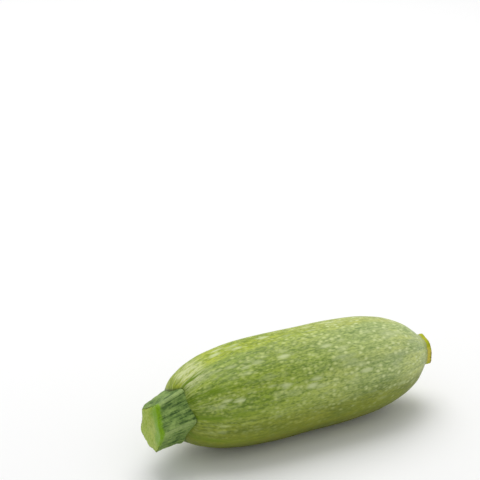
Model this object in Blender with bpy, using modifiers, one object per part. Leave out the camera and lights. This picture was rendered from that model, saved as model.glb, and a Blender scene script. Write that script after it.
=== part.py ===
"""A pale green zucchini, as picked, lying on its side. Metres, +Z up.

+X runs from the stalk to the flower end. The origin is the middle of the outer box, at the
height of the surface that the fruit rests on.

Three grown pieces make it: the fruit, the five-ridged stalk cut from the plant, and the corky
scar that the flower left.
"""

import math

import bmesh
import bpy
from mathutils import Vector

GREATEST_RADIUS = 0.0250
FRUIT_LENGTH = 0.1328  # along the axis, from the shoulder round the stalk to the flower end
GROWN_GAP = 0.0003  # left free between two pieces that touch
RESTING_SPOT_DEPTH = 0.0005  # how far the fruit is flattened where it lies

# The fruit's outline from stalk to flower: share of FRUIT_LENGTH, share of GREATEST_RADIUS
FRUIT_OUTLINE = (
    (-0.020, 0.000),
    (-0.015, 0.280),
    (0.000, 0.545),
    (0.036, 0.690),
    (0.092, 0.819),
    (0.183, 0.937),
    (0.326, 1.000),
    (0.510, 0.995),
    (0.672, 0.980),
    (0.815, 0.884),
    (0.920, 0.672),
    (0.965, 0.486),
    (0.988, 0.365),
    (1.000, 0.295),
    (1.004, 0.180),
    (1.005, 0.000),
)
OUTLINE_STEPS = 3  # straight runs between two outline points
AROUND_FRUIT = 80

# The flesh swells between the stalk's five corners, and ten low ribs run the whole length
CORNERS = 5
CORNER_ANGLE = math.radians(28.5)  # of the first corner, from +Y towards +Z
LOBE_HEIGHT = 0.0005
LOBE_REACH = 0.45  # share of the length over which the lobes fade
RIB_HEIGHT = 0.00018

# How the axis bends towards each end, and the share of the length that each bend takes
NECK_BEND = Vector((0.0, -0.0011, 0.0001))
TIP_BEND = Vector((0.0, -0.0011, 0.0006))
BEND_REACH = 0.5

# The shoulder is set back along X on the side that the stalk bends to
SET_BACK = 0.0048
SET_BACK_ANGLE = math.radians(150.0)
SET_BACK_NARROWNESS = 2.5
SET_BACK_REACH = 0.15
AXIS_ZONE = 0.0125  # within this radius, lobes and set-back fade to nothing at the axis

# Stalk, measured from the fruit's axis at the shoulder
FOOT_MIDDLE = Vector((0.0004, -0.0002, -0.0013))
CUT_MIDDLE = Vector((-0.0172, -0.0093, 0.0007))
STALK_BEND = 1.15  # 1 is a straight lean, more bends later
STALK_ROOT_X = 0.0080  # sunk this far in before the fruit's shape is taken from it
FOOT_APOTHEM = 0.0108  # centre to the middle of a flat side
CUT_APOTHEM = 0.0092
# At the cut, for each corner from the first one on: how far it is set back, how far it stands
# out, and how far it is turned on, in radians
CUT_CORNERS = (
    (0.0001, -0.0001, 0.00),
    (0.0029, 0.0000, 0.00),
    (0.0004, 0.0017, 0.00),
    (0.0009, 0.0004, 0.00),
    (-0.0004, 0.0000, 0.17),
)
CUT_MEAN_SET_BACK = sum(corner[0] for corner in CUT_CORNERS) / CORNERS
CORNER_STAND = 0.0006  # how far a ridge stands out of its corner
CORNER_SHARPNESS = 14.0
FOOT_FLARE = 0.0006  # how far the foot spreads
FOOT_FLARE_REACH = 0.0050
FOOT_CURL = 0.0012  # how far the foot's edge turns in again at the fruit
FOOT_CURL_REACH = 0.0016
CUT_EDGE_ROUND = 0.0004
CUT_RINGS = (0.93, 0.70, 0.45, 0.27)  # shares of the cut's radius
PITH_SHARE = 0.50  # of the cut's radius: the rings inside it are sunk
PITH_DEPTH = 0.0004
AROUND_STALK = 60
ALONG_STALK = 16

# Flower scar
SCAR_RADIUS = 0.0077
SCAR_STAND = 0.0024  # how far it stands out of the fruit's tip
SCAR_SUNK = 0.0020
SCAR_WAVES = ((5, 0.00022, 0.4), (8, 0.00012, 1.9))  # count, height, phase of the uneven rim
SCAR_EDGE_ROUND = 0.0005
SCAR_RINGS = (0.86, 0.55, 0.35)  # shares of the scar's radius
SCAR_DIMPLE_SHARE = 0.45  # of the scar's radius: the rings inside it are sunk
SCAR_DIMPLE_DEPTH = 0.0005
AROUND_SCAR = 48
DOWN_SCAR = 3

MERGE_DISTANCE = 0.00001
SHARP_ANGLE = math.radians(40.0)
ON_THE_RIM = 0.999  # a share of the radius or the height that counts as the whole

SKIN_GREEN = (0.36, 0.46, 0.13)
STALK_GREEN = (0.12, 0.24, 0.06)
SCAR_TAN = (0.46, 0.34, 0.10)
SKIN_ROUGHNESS = 0.42
STALK_ROUGHNESS = 0.60
SCAR_ROUGHNESS = 0.80


def clear_scene():
    """Removes the file's own objects."""
    for obj in list(bpy.data.objects):
        bpy.data.objects.remove(obj, do_unlink=True)


def new_collection(name):
    """Adds a collection to the scene."""
    collection = bpy.data.collections.new(name)
    bpy.context.scene.collection.children.link(collection)
    return collection


def plain_material(name, colour, roughness):
    """A one-colour material that is not metal."""
    material = bpy.data.materials.new(name)
    material.use_nodes = True
    shader = material.node_tree.nodes["Principled BSDF"]
    shader.inputs["Base Color"].default_value = (*colour, 1.0)
    shader.inputs["Roughness"].default_value = roughness
    shader.inputs["Metallic"].default_value = 0.0
    return material


def ease(share):
    """A smooth step from 0 to 1."""
    share = min(max(share, 0.0), 1.0)
    return share * share * (3.0 - 2.0 * share)


def fade(share):
    """A smooth step from 1 to 0."""
    return 1.0 - ease(share)


def axis_shift(x):
    """How far the fruit's axis lies off the straight X line, at x from the shoulder."""
    share = x / FRUIT_LENGTH
    neck = max(0.0, 1.0 - share / BEND_REACH) ** 2
    tip = max(0.0, 1.0 - (1.0 - share) / BEND_REACH) ** 2
    return NECK_BEND * neck + TIP_BEND * tip


def set_back(angle):
    """How far the shoulder is set back along X at this angle."""
    facing = 0.5 + 0.5 * math.cos(angle - SET_BACK_ANGLE)
    return SET_BACK * facing ** SET_BACK_NARROWNESS


def swell(x, angle):
    """How far the skin stands out of the turned outline at this place."""
    share = x / FRUIT_LENGTH
    turn = angle - CORNER_ANGLE
    lobe = LOBE_HEIGHT * fade(share / LOBE_REACH)
    rib = RIB_HEIGHT * math.sqrt(math.sin(math.pi * min(max(share, 0.0), 1.0)))
    return rib * math.cos(2 * CORNERS * turn) - lobe * math.cos(CORNERS * turn)


def turned_outline(name):
    """The outline as a smooth curve, turned about the X axis. Returns a mesh."""
    curve = bpy.data.curves.new(name, "CURVE")
    curve.dimensions = "3D"
    curve.resolution_u = OUTLINE_STEPS
    spline = curve.splines.new("BEZIER")
    spline.bezier_points.add(len(FRUIT_OUTLINE) - 1)
    for point, (along, out) in zip(spline.bezier_points, FRUIT_OUTLINE):
        point.co = (along * FRUIT_LENGTH, 0.0, out * GREATEST_RADIUS)
        point.handle_left_type = "AUTO"
        point.handle_right_type = "AUTO"
    guide = bpy.data.objects.new(name, curve)
    bpy.context.scene.collection.objects.link(guide)
    bpy.context.view_layer.update()
    profile = bpy.data.objects.new(name, bpy.data.meshes.new_from_object(guide))
    bpy.data.objects.remove(guide, do_unlink=True)
    bpy.context.scene.collection.objects.link(profile)
    screw = profile.modifiers.new("Turned", "SCREW")
    screw.axis = "X"
    screw.steps = AROUND_FRUIT
    screw.render_steps = AROUND_FRUIT
    screw.use_merge_vertices = True
    screw.merge_threshold = MERGE_DISTANCE
    bpy.context.view_layer.update()
    graph = bpy.context.evaluated_depsgraph_get()
    turned = bpy.data.meshes.new_from_object(profile.evaluated_get(graph))
    bpy.data.objects.remove(profile, do_unlink=True)
    return turned


def fruit_mesh(name, grown_by=0.0):
    """The ribbed, bent fruit, made fatter by grown_by, and the height of its flat spot."""
    mesh = turned_outline(name)
    shape = bmesh.new()
    shape.from_mesh(mesh)
    bmesh.ops.remove_doubles(shape, verts=shape.verts, dist=MERGE_DISTANCE)
    for vertex in shape.verts:
        x, y, z = vertex.co
        radius = math.hypot(y, z)
        if radius > 0.0:
            angle = math.atan2(z, y)
            spread = min(1.0, radius / AXIS_ZONE)
            grown = 1.0 + spread * swell(x, angle) / radius
            back = spread * set_back(angle) * fade(x / FRUIT_LENGTH / SET_BACK_REACH)
            vertex.co = Vector((x + back, y * grown, z * grown))
        vertex.co += axis_shift(x)
    bmesh.ops.recalc_face_normals(shape, faces=shape.faces)
    shape.normal_update()
    if grown_by:
        for vertex in shape.verts:
            vertex.co += vertex.normal * grown_by
    floor = RESTING_SPOT_DEPTH - max(-vertex.co.z for vertex in shape.verts)
    bmesh.ops.bisect_plane(
        shape,
        geom=shape.verts[:] + shape.edges[:] + shape.faces[:],
        dist=0.1 * MERGE_DISTANCE,
        plane_co=(0.0, 0.0, floor),
        plane_no=(0.0, 0.0, -1.0),
        clear_outer=True,
    )
    rim = [edge for edge in shape.edges if edge.is_boundary]
    bmesh.ops.contextual_create(shape, geom=rim)
    bmesh.ops.recalc_face_normals(shape, faces=shape.faces)
    shape.to_mesh(mesh)
    shape.free()
    return mesh, floor


def rounded_pentagon(angle, apothem):
    """Distance from the centre to the outline of a pentagon with rounded corners."""
    total = 0.0
    for side in range(CORNERS):
        middle = CORNER_ANGLE + (side + 0.5) * math.tau / CORNERS
        total += max(0.0, math.cos(angle - middle)) ** CORNER_SHARPNESS
    return apothem * total ** (-1.0 / CORNER_SHARPNESS)


def up_the_stalk(x):
    """Share of the way from the foot, 0, to the cut, 1. It is below 0 inside the fruit."""
    return (FOOT_MIDDLE.x - x) / (FOOT_MIDDLE.x - CUT_MIDDLE.x)


def cut_strays(angle):
    """How far the uneven cut's edge is set back, stands out and is turned on, at this angle."""
    turn = (angle - CORNER_ANGLE) / math.tau * CORNERS % CORNERS
    corner = int(turn) % CORNERS
    here = Vector(CUT_CORNERS[corner])
    return here.lerp(Vector(CUT_CORNERS[(corner + 1) % CORNERS]), ease(turn - int(turn)))


def stalk_radius(x, angle):
    """Distance from the stalk's centre line to its side, at x from the fruit's shoulder."""
    toward_cut = ease(up_the_stalk(x))
    apothem = FOOT_APOTHEM + (CUT_APOTHEM - FOOT_APOTHEM) * toward_cut
    stray = cut_strays(angle).y * toward_cut
    ridge = CORNER_STAND * (0.5 + 0.5 * math.cos(CORNERS * (angle - CORNER_ANGLE))) ** 2
    flare = FOOT_FLARE * ease((x - FOOT_MIDDLE.x + FOOT_FLARE_REACH) / FOOT_FLARE_REACH)
    curl = FOOT_CURL * ease((x - FOOT_MIDDLE.x + FOOT_CURL_REACH) / (2.0 * FOOT_CURL_REACH))
    return rounded_pentagon(angle, apothem) + ridge + flare - curl + stray


def stalk_middle(x):
    """The stalk's centre line: along the fruit's axis in the foot, then bending off."""
    return FOOT_MIDDLE + (CUT_MIDDLE - FOOT_MIDDLE) * max(0.0, up_the_stalk(x)) ** STALK_BEND


def capped_cylinder(radius, depth, around, cuts, rings):
    """A closed cylinder from z = 0 to depth, cut into rows, with rings inset in its upper cap."""
    shape = bmesh.new()
    bmesh.ops.create_cone(
        shape, cap_ends=True, segments=around, radius1=radius, radius2=radius, depth=depth
    )
    bmesh.ops.translate(shape, verts=shape.verts, vec=(0.0, 0.0, 0.5 * depth))
    upright = [e for e in shape.edges if abs(e.verts[0].co.z - e.verts[1].co.z) > 0.5 * depth]
    bmesh.ops.subdivide_edges(shape, edges=upright, cuts=cuts, use_grid_fill=True)
    cap = max(shape.faces, key=lambda face: face.calc_center_median().z)
    for share in rings:
        reach = max(vertex.co.xy.length for vertex in cap.verts)
        inset = reach - share * radius
        bmesh.ops.inset_region(shape, faces=[cap], thickness=inset, use_even_offset=False)
    return shape


def finished_mesh(name, shape):
    """Turns the bmesh into a mesh with its faces pointing out."""
    bmesh.ops.recalc_face_normals(shape, faces=shape.faces)
    mesh = bpy.data.meshes.new(name)
    shape.to_mesh(mesh)
    shape.free()
    return mesh


def stalk_mesh(name):
    """A cylinder drawn into five ridges, bent, with an uneven cut end and a sunk pith."""
    shape = capped_cylinder(1.0, 1.0, AROUND_STALK, ALONG_STALK, CUT_RINGS)
    for vertex in shape.verts:
        angle = math.atan2(vertex.co.y, vertex.co.x)
        share, up = vertex.co.xy.length, vertex.co.z
        x = STALK_ROOT_X + (CUT_MIDDLE.x - STALK_ROOT_X) * up
        out = share * stalk_radius(x, angle)
        back = share * set_back(angle) * fade(up_the_stalk(x))
        edge_back = CUT_MEAN_SET_BACK + share * (cut_strays(angle).x - CUT_MEAN_SET_BACK)
        back += edge_back * ease(up_the_stalk(x))
        if up > ON_THE_RIM and share > ON_THE_RIM:
            back += CUT_EDGE_ROUND
        if up > ON_THE_RIM and share < PITH_SHARE:
            back += PITH_DEPTH
        middle = stalk_middle(x)
        angle += cut_strays(angle).z * ease(up_the_stalk(x))
        vertex.co = (x + back, middle.y + out * math.cos(angle), middle.z + out * math.sin(angle))
    return finished_mesh(name, shape)


def scar_mesh(name):
    """A thick corky disc with an uneven rim and a shallow dimple, its open side to +X."""
    depth = SCAR_STAND + SCAR_SUNK
    shape = capped_cylinder(SCAR_RADIUS, depth, AROUND_SCAR, DOWN_SCAR, SCAR_RINGS)
    for vertex in shape.verts:
        angle = math.atan2(vertex.co.y, vertex.co.x)
        share = vertex.co.xy.length / SCAR_RADIUS
        wave = sum(height * math.cos(count * angle + phase) for count, height, phase in SCAR_WAVES)
        out = share * (SCAR_RADIUS + wave)
        x = vertex.co.z - SCAR_SUNK
        if vertex.co.z > ON_THE_RIM * depth:
            x -= SCAR_EDGE_ROUND if share > ON_THE_RIM else 0.0
            x -= SCAR_DIMPLE_DEPTH if share < SCAR_DIMPLE_SHARE else 0.0
        vertex.co = (x, out * math.cos(angle), out * math.sin(angle))
    return finished_mesh(name, shape)


def add_piece(name, mesh, material, collection, parent, place):
    """Puts the mesh in the collection as a smooth-shaded object under the parent."""
    piece = bpy.data.objects.new(name, mesh)
    piece.parent = parent
    piece.location = place
    mesh.materials.append(material)
    mesh.shade_smooth()
    mesh.set_sharp_from_angle(angle=SHARP_ANGLE)
    collection.objects.link(piece)
    return piece


def seat_on_fruit(piece, cutter):
    """Takes the fruit's shape and the gap round it out of the piece."""
    cut = piece.modifiers.new("Seated on the fruit", "BOOLEAN")
    cut.operation = "DIFFERENCE"
    cut.object = cutter


def outer_box(pieces):
    """Lowest and highest corner of the finished pieces."""
    bpy.context.view_layer.update()
    graph = bpy.context.evaluated_depsgraph_get()
    low, high = Vector((1.0, 1.0, 1.0)), Vector((-1.0, -1.0, -1.0))
    for piece in pieces:
        seen = piece.evaluated_get(graph)
        for vertex in seen.data.vertices:
            place = seen.matrix_world @ vertex.co
            low = Vector(map(min, low, place))
            high = Vector(map(max, high, place))
    return low, high


def main():
    clear_scene()
    zucchini = new_collection("zucchini")
    cutters = new_collection("cutters")
    middle = bpy.data.objects.new("zucchini_middle", None)
    zucchini.objects.link(middle)

    skin = plain_material("pale_green_skin", SKIN_GREEN, SKIN_ROUGHNESS)
    rind = plain_material("stalk_rind", STALK_GREEN, STALK_ROUGHNESS)
    cork = plain_material("scar_cork", SCAR_TAN, SCAR_ROUGHNESS)

    mesh, floor = fruit_mesh("fruit")
    fruit_place = Vector((0.0, 0.0, -floor))
    fruit = add_piece("fruit", mesh, skin, zucchini, middle, fruit_place)

    cutter_mesh, _ = fruit_mesh("fruit_and_gap", GROWN_GAP)
    cutter = bpy.data.objects.new("fruit_and_gap", cutter_mesh)
    cutter.parent = middle
    cutter.location = fruit_place
    cutter.hide_render = True
    cutter.display_type = "WIRE"
    cutters.objects.link(cutter)

    stalk_place = fruit_place + axis_shift(0.0)
    stalk = add_piece("stalk", stalk_mesh("stalk"), rind, zucchini, middle, stalk_place)
    seat_on_fruit(stalk, cutter)

    tip_x = FRUIT_OUTLINE[-1][0] * FRUIT_LENGTH
    tip_place = fruit_place + Vector((tip_x, 0.0, 0.0)) + axis_shift(tip_x)
    scar = add_piece("flower_scar", scar_mesh("flower_scar"), cork, zucchini, middle, tip_place)
    tip_slope = 2.0 * TIP_BEND / (BEND_REACH * FRUIT_LENGTH)
    scar.rotation_euler = (0.0, -tip_slope.z, tip_slope.y)
    seat_on_fruit(scar, cutter)

    low, high = outer_box((fruit, stalk, scar))
    middle.location = (-0.5 * (low.x + high.x), -0.5 * (low.y + high.y), 0.0)


main()
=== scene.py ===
"""The looks of a pale green zucchini that lies on its side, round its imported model. Metres, +Z up.

+X runs from the cut stalk to the flower end. Three grown pieces stand for the three solids of the
model: the fruit, the stalk and the flower scar. Each is modelled finely round the same form as its
solid and is settled in its solid's box.
"""

import logging
import math
from collections.abc import Callable
from dataclasses import dataclass
from enum import Enum

import bmesh
import bpy
import numpy as np
from mathutils import Euler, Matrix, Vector, noise


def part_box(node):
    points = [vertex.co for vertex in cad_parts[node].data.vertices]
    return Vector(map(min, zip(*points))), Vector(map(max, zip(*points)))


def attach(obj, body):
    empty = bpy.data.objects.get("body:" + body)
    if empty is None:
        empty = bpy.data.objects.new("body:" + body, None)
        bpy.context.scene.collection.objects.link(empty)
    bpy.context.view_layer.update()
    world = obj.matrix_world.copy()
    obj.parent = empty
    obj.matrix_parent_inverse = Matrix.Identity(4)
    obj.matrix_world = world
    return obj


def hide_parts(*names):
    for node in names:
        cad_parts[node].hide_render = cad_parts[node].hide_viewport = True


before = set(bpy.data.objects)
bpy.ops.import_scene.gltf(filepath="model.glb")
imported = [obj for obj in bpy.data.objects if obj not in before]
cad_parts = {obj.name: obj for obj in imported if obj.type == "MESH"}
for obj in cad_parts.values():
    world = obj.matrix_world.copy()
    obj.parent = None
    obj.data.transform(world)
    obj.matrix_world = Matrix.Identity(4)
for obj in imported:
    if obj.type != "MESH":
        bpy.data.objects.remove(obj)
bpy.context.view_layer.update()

PICTURE_SIDE = 480  # pixels
FILM_SIDE = 36.0  # millimetres, the camera's sensor width
MILLIMETRE = 0.001
SHARP_ANGLE = math.radians(40.0)
ON_EDGE = 0.999  # a share over this is the whole

log = logging.getLogger("zucchini")

Array = np.ndarray
Colour = tuple[float, float, float]
Grain = tuple[float, float]  # length along the piece, width across it


class Node(Enum):
    """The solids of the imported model."""

    FRUIT = "fruit"
    STALK = "stalk"
    SCAR = "flower_scar"


class Slot(Enum):
    """The material slots of the record."""

    SKIN = "pale_green_skin"
    RIND = "stalk_rind"
    CORK = "scar_cork"


class Anchor(Enum):
    """The end along X at which a piece is fitted to its solid, or both."""

    BOTH = "both"
    LOW = "low"
    HIGH = "high"


class Track(Enum):
    """The attributes that a piece carries for its finish."""

    PLACE = "grown_place"  # way along the piece, then cosine and sine of the angle round it
    RIB = "rib"  # 1 on a rib, -1 midway between two
    CREASE = "crease"  # 1 where the fruit meets its stalk, 0 away from it
    CUT = "cut_share"  # share of the radius on the cut end or the scar's face, above 1 on the side


# Shapes: small sums on arrays


def ease(share: Array) -> Array:
    """A smooth step from 0 to 1."""
    share = np.clip(share, 0.0, 1.0)
    return share * share * (3.0 - 2.0 * share)


def fade(share: Array) -> Array:
    """A smooth step from 1 to 0."""
    return 1.0 - ease(share)


def near_end(share: Array, zone: float) -> Array:
    """A smooth rise from 0 to 1 over the last zone of a share that ends at 1."""
    return ease((share - 1.0 + zone) / zone)


def hump(angle: Array, middle: float, width: float) -> Array:
    """A smooth hump, 1 high at its middle."""
    return np.exp(-(((angle - middle) / width) ** 2))


def lumps(points: Array, seed: float, octaves: int = 3) -> Array:
    """Smooth noise of about -1 to 1 at each point, in lumps about one unit across.

    Args:
        points: one row of three numbers for each point.
        seed: shifts the noise, so that two layers differ.
        octaves: how many finer layers are added up.

    Returns:
        One value for each point.
    """
    shift = Vector((seed, 1.7 * seed, -0.6 * seed))
    return np.array([noise.fractal(Vector(p) + shift, 1.0, 2.0, octaves) for p in points])


def round_lumps(
    along: Array, angle: Array, length: float, width: float, seed: float, octaves: int = 3
) -> Array:
    """Noise that runs round a stem without a seam, in lumps of the given share lengths.

    Args:
        along: way along the stem, in units of which a lump takes length.
        angle: angle round the stem, in radians.
        length: how long a lump is.
        width: how wide a lump is, in radians.
        seed: shifts the noise.
        octaves: how many finer layers are added up.

    Returns:
        One value of about -1 to 1 for each point.
    """
    points = np.column_stack((along / length, np.cos(angle) / width, np.sin(angle) / width))
    return lumps(points, seed, octaves)


def edge_lumps(angle: Array, width: float, seed: float, octaves: int) -> Array:
    """Noise that runs once round an edge, in lumps of the given width in radians."""
    return round_lumps(np.zeros_like(angle), angle, 1.0, width, seed, octaves)


# Hand tools


def put_down() -> None:
    """Leaves edit mode and deselects everything."""
    if bpy.context.object and bpy.context.object.mode != "OBJECT":
        bpy.ops.object.mode_set(mode="OBJECT")
    bpy.ops.object.select_all(action="DESELECT")


def take_up(piece: bpy.types.Object) -> None:
    """Selects one object alone and makes it the active one."""
    put_down()
    piece.select_set(True)
    bpy.context.view_layer.objects.active = piece


def edit(piece: bpy.types.Object, kind: str = "FACE") -> None:
    """Opens one object in edit mode, with nothing selected, to pick vertices, edges or faces."""
    take_up(piece)
    bpy.ops.object.mode_set(mode="EDIT")
    bpy.ops.mesh.select_mode(type=kind)
    bpy.ops.mesh.select_all(action="DESELECT")


def pick_edges(piece: bpy.types.Object, wanted: Callable[[bmesh.types.BMEdge], bool]) -> None:
    """Selects, in edit mode, the edges that pass the test."""
    shape = bmesh.from_edit_mesh(piece.data)
    for edge in shape.edges:
        if wanted(edge):
            edge.select_set(True)
    bmesh.update_edit_mesh(piece.data)


def pick_face(piece: bpy.types.Object, height: Callable[[Vector], float]) -> None:
    """Selects, in edit mode, the one face whose middle comes highest."""
    shape = bmesh.from_edit_mesh(piece.data)
    best = max(shape.faces, key=lambda face: height(face.calc_center_median()))
    best.select_set(True)
    bmesh.update_edit_mesh(piece.data)


def close_up(piece: bpy.types.Object, distance: float) -> None:
    """Merges doubled vertices and turns all faces outwards."""
    edit(piece, "VERT")
    bpy.ops.mesh.select_all(action="SELECT")
    bpy.ops.mesh.remove_doubles(threshold=distance)
    bpy.ops.mesh.normals_make_consistent(inside=False)
    bpy.ops.object.mode_set(mode="OBJECT")


def places_of(piece: bpy.types.Object) -> Array:
    """The vertices of a mesh object, one row each."""
    flat = np.zeros(3 * len(piece.data.vertices))
    piece.data.vertices.foreach_get("co", flat)
    return flat.reshape(-1, 3)


def move_to(piece: bpy.types.Object, places: Array) -> None:
    """Gives the vertices of a mesh object new places."""
    piece.data.vertices.foreach_set("co", places.ravel())
    piece.data.update()


def write_track(piece: bpy.types.Object, track: Track, values: Array) -> None:
    """Stores one number or one vector for each vertex."""
    kind, key = ("FLOAT_VECTOR", "vector") if values.ndim == 2 else ("FLOAT", "value")
    mesh = piece.data
    layer = mesh.attributes.get(track.value) or mesh.attributes.new(track.value, kind, "POINT")
    layer.data.foreach_set(key, values.astype(np.float32).ravel())


def smooth(piece: bpy.types.Object) -> None:
    """Shades the piece smooth, except along its sharp edges."""
    take_up(piece)
    bpy.ops.object.shade_smooth_by_angle(angle=SHARP_ANGLE)
    put_down()


# Shader maths


class Wire:
    """A socket that carries a number, and takes part in sums as a number does."""

    def __init__(self, sheet: "Sheet", socket: bpy.types.NodeSocket) -> None:
        """Keeps the sheet of nodes and the socket on it."""
        self.sheet = sheet
        self.socket = socket

    def _sum(self, operation: str, first: "Wire | float", second: "Wire | float") -> "Wire":
        """Adds one Math node."""
        return self.sheet.node("ShaderNodeMath", {"operation": operation}, {0: first, 1: second})

    def __add__(self, other: "Wire | float") -> "Wire":
        """Self + other."""
        return self._sum("ADD", self, other)

    def __radd__(self, other: float) -> "Wire":
        """Other + self."""
        return self._sum("ADD", other, self)

    def __sub__(self, other: "Wire | float") -> "Wire":
        """Self - other."""
        return self._sum("SUBTRACT", self, other)

    def __rsub__(self, other: float) -> "Wire":
        """Other - self."""
        return self._sum("SUBTRACT", other, self)

    def __mul__(self, other: "Wire | float") -> "Wire":
        """Self * other."""
        return self._sum("MULTIPLY", self, other)

    def __rmul__(self, other: float) -> "Wire":
        """Other * self."""
        return self._sum("MULTIPLY", other, self)

    def __pow__(self, other: float) -> "Wire":
        """Self to the power of other."""
        return self._sum("POWER", self, other)

    def step(self, low: float, high: float, start: float = 0.0, end: float = 1.0) -> "Wire":
        """A smooth step: start where the wire is at low or under, end at high or over."""
        return self.sheet.node(
            "ShaderNodeMapRange",
            {"interpolation_type": "SMOOTHSTEP"},
            {"Value": self, "From Min": low, "From Max": high, "To Min": start, "To Max": end},
        )

    def fall(self, low: float, high: float) -> "Wire":
        """A smooth step down: 1 where the wire is at low or under, 0 at high or over."""
        return self.step(low, high, 1.0, 0.0)


Given = Wire | float | tuple


class Sheet:
    """The nodes of one material."""

    COLUMN = 190.0
    ROW = 170.0
    COLUMNS = 20  # to the left of the shader

    def __init__(self, name: str) -> None:
        """Starts a material with its Principled shader."""
        self.material = bpy.data.materials.new(name)
        self.material.use_nodes = True
        self.tree = self.material.node_tree
        self.shader = self.tree.nodes["Principled BSDF"]
        self.rows: dict[int, int] = {}

    def node(
        self,
        kind: str,
        settings: dict[str, object] | None = None,
        sockets: dict[int | str, Given] | None = None,
        out: int = 0,
    ) -> Wire:
        """Adds a node to the right of the nodes that feed it.

        Args:
            kind: the node's type.
            settings: properties of the node, set before its sockets.
            sockets: a value or a wire for each socket, by its name or number.
            out: number of the output that is wanted.

        Returns:
            The wire from that output.
        """
        added = self.tree.nodes.new(kind)
        for name, setting in (settings or {}).items():
            setattr(added, name, setting)
        column = 0
        for key, given in (sockets or {}).items():
            socket = added.inputs[key]
            if isinstance(given, Wire):
                self.tree.links.new(given.socket, socket)
                column = max(column, given.socket.node.get("column", 0) + 1)
            elif socket.type == "RGBA" and len(given) == 3:
                socket.default_value = (*given, 1.0)
            else:
                socket.default_value = given
        added["column"] = column
        row = self.rows.get(column, 0)
        self.rows[column] = row + 1
        added.location = (self.COLUMN * (column - self.COLUMNS), -self.ROW * row)
        return Wire(self, added.outputs[out])

    def number(self, track: Track) -> Wire:
        """A number that the piece carries on its vertices."""
        return self.node("ShaderNodeAttribute", {"attribute_name": track.value}, out=2)

    def vector(self, track: Track) -> Wire:
        """A vector that the piece carries on its vertices."""
        return self.node("ShaderNodeAttribute", {"attribute_name": track.value}, out=1)

    def spot(self) -> Wire:
        """The place on the piece, in metres."""
        return self.node("ShaderNodeTexCoord", out=3)

    def parts(self, vector: Wire) -> tuple[Wire, Wire, Wire]:
        """The three numbers of a vector."""
        first = self.node("ShaderNodeSeparateXYZ", None, {0: vector})
        outs = first.socket.node.outputs
        return first, Wire(self, outs[1]), Wire(self, outs[2])

    def stretched(self, place: Wire, grain: Grain) -> Wire:
        """The place on the piece, so scaled that a grain is one unit long and wide."""
        length, width = grain
        scale = (1.0 / length, 1.0 / width, 1.0 / width)
        return self.node("ShaderNodeVectorMath", {"operation": "MULTIPLY"}, {0: place, 1: scale})

    def cloud(
        self, place: Wire, grain: Grain, seed: float, detail: float = 2.0, rough: float = 0.5
    ) -> Wire:
        """Soft noise about 0.5, in lumps of the grain's size, with its own seed."""
        scaled = self.stretched(place, grain)
        return self.node(
            "ShaderNodeTexNoise",
            {"noise_dimensions": "4D"},
            {"Vector": scaled, "W": seed, "Scale": 1.0, "Detail": detail, "Roughness": rough},
        )

    def cells(self, place: Wire, grain: Grain, seed: float) -> tuple[Wire, Wire]:
        """Distance to the nearest scattered point, and a number that each point has of its own."""
        moved = self.node(
            "ShaderNodeVectorMath",
            {"operation": "ADD"},
            {0: self.stretched(place, grain), 1: (seed, -seed, 0.5 * seed)},
        )
        distance = self.node(
            "ShaderNodeTexVoronoi",
            {"voronoi_dimensions": "3D", "feature": "F1"},
            {"Vector": moved, "Scale": 1.0, "Randomness": 1.0},
        )
        own = self.node(
            "ShaderNodeSeparateColor", None, {0: Wire(self, distance.socket.node.outputs[1])}
        )
        return distance, own

    def mix(self, share: Wire, colour: Wire | Colour, other: Wire | Colour) -> Wire:
        """A colour that turns from one to another as the share goes from 0 to 1."""
        return self.node(
            "ShaderNodeMix",
            {"data_type": "RGBA", "clamp_factor": True},
            {0: share, 6: colour, 7: other},
            out=2,
        )

    def tinted(self, colour: Wire, tint: Wire) -> Wire:
        """One colour times another."""
        return self.node("ShaderNodeVectorMath", {"operation": "MULTIPLY"}, {0: colour, 1: tint})

    def bump(
        self, height: Wire, distance: float, strength: float, under: Wire | None = None
    ) -> Wire:
        """A Bump node: height in units of distance, in metres, over another bump."""
        sockets = {"Height": height, "Distance": distance, "Strength": strength}
        if under is not None:
            sockets["Normal"] = under
        return self.node("ShaderNodeBump", None, sockets)

    def finish(self, wires: dict[str, Given]) -> bpy.types.Material:
        """Feeds the Principled shader and returns the material."""
        for name, given in wires.items():
            socket = self.shader.inputs[name]
            if isinstance(given, Wire):
                self.tree.links.new(given.socket, socket)
            else:
                socket.default_value = given
        return self.material


# Finishes


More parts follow.
